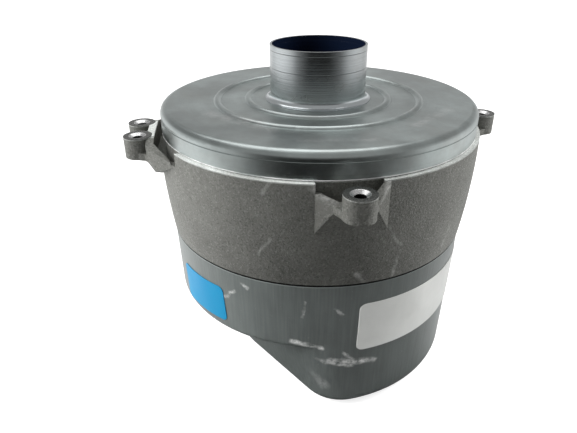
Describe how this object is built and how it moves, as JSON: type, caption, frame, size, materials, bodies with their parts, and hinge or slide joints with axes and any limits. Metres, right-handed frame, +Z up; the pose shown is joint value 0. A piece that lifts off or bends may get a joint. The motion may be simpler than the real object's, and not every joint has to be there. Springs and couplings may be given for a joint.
{
  "type": "vacuum motor unit",
  "caption": "Vacuum motor unit with an upright inlet pipe, cast fan housing with fixing lugs and a deep motor cover, holding a brushed motor and fans.",
  "frame": {"origin": "on the spin axis, at the level of the motor cover's deep floor that the unit stands on", "axes": "+Z up along the spin axis and the inlet pipe; -Y towards the front lug; -X towards the paired lugs"},
  "size_m": [0.2064, 0.2064, 0.1776],
  "materials": {
    "pipe_steel": "bright zinc-plated drawn tube with fine lines around it",
    "cover_steel": "galvanised sheet, satin, with fine lines and light marks",
    "cast_alloy": "sand-cast grain, dull, with scratches and machined edges",
    "cover_paint": "smooth dark greenish-grey paint with pale scuffs",
    "seal_rubber": "matte black",
    "blue_film": "satin film, bare",
    "white_film": "satin film, bare",
    "fan_alloy": "pressed sheet, satin",
    "shaft_steel": "ground",
    "screw_steel": "zinc plated",
    "seal_felt": "pressed wool felt",
    "bearing_steel": "polished",
    "cage_brass": "machined",
    "lamination": "stacked sheet edges with blue-grey varnish",
    "copper_wire": "enamelled copper windings under varnish",
    "copper_bar": "turned copper",
    "bracket_alloy": "die cast",
    "holder_brass": "folded sheet",
    "cap_plastic": "moulded dark resin",
    "carbon": "pressed carbon, dull",
    "spring_steel": "drawn wire",
    "lead_sleeve": "soft insulated leads"
  },
  "bodies": {
    "unit": {"back_brush_spring": "spring_steel", "blue_label": "blue_film", "brush_bracket": "bracket_alloy", "brush_caps": "cap_plastic", "brush_holders": "holder_brass", "cable_grommet": "seal_rubber", "cover_gasket": "seal_rubber", "cover_screws": "screw_steel", "fan_housing": "cast_alloy", "field_coils": "copper_wire", "front_brush_spring": "spring_steel", "inlet_cover": "cover_steel", "inlet_pipe": "pipe_steel", "internal_leads": "lead_sleeve", "lower_bearing_outer_ring": "bearing_steel", "motor_cover": "cover_paint", "seam_gasket": "seal_rubber", "shaft_seal": "seal_felt", "stage_plate": "fan_alloy", "stator_core": "lamination", "stator_screws": "screw_steel", "terminal_block": "cap_plastic", "upper_bearing_outer_ring": "bearing_steel", "white_label": "white_film"},
    "rotor": {"shaft": "shaft_steel", "armature_core": "lamination", "armature_windings": "copper_wire", "commutator": "copper_bar", "first_fan": "fan_alloy", "second_fan": "fan_alloy", "fan_washers": "screw_steel", "fan_spacer": "fan_alloy", "shaft_sleeve": "shaft_steel", "shaft_nut": "screw_steel", "upper_bearing_inner_ring": "bearing_steel", "lower_bearing_inner_ring": "bearing_steel"},
    "upper_cage": {"upper_bearing_balls": "bearing_steel", "upper_bearing_cage": "cage_brass"},
    "lower_cage": {"lower_bearing_balls": "bearing_steel", "lower_bearing_cage": "cage_brass"},
    "front_carbon": {"front_brush": "carbon"},
    "back_carbon": {"back_brush": "carbon"}
  },
  "joints": [
    {"name": "rotor_spin", "type": "hinge", "parent": "unit", "child": "rotor", "pos_m": [0, 0, 0.05], "axis": [0, 0, 1], "continuous": true},
    {"name": "upper_cage_spin", "type": "hinge", "parent": "unit", "child": "upper_cage", "pos_m": [0, 0, 0.093], "axis": [0, 0, 1], "continuous": true},
    {"name": "lower_cage_spin", "type": "hinge", "parent": "unit", "child": "lower_cage", "pos_m": [0, 0, 0.0105], "axis": [0, 0, 1], "continuous": true},
    {"name": "front_brush_slide", "type": "slide", "parent": "unit", "child": "front_carbon", "axis": [0, -1, 0], "range_m": [0, 0.005], "stiffness_N_per_m": 60, "deforming": ["front_brush_spring"]},
    {"name": "back_brush_slide", "type": "slide", "parent": "unit", "child": "back_carbon", "axis": [0, 1, 0], "range_m": [0, 0.005], "stiffness_N_per_m": 60, "deforming": ["back_brush_spring"]}
  ],
  "couplings": [
    {"joint": "upper_cage_spin", "follows": "rotor_spin", "ratio": 0.3636},
    {"joint": "lower_cage_spin", "follows": "rotor_spin", "ratio": 0.36}
  ]
}
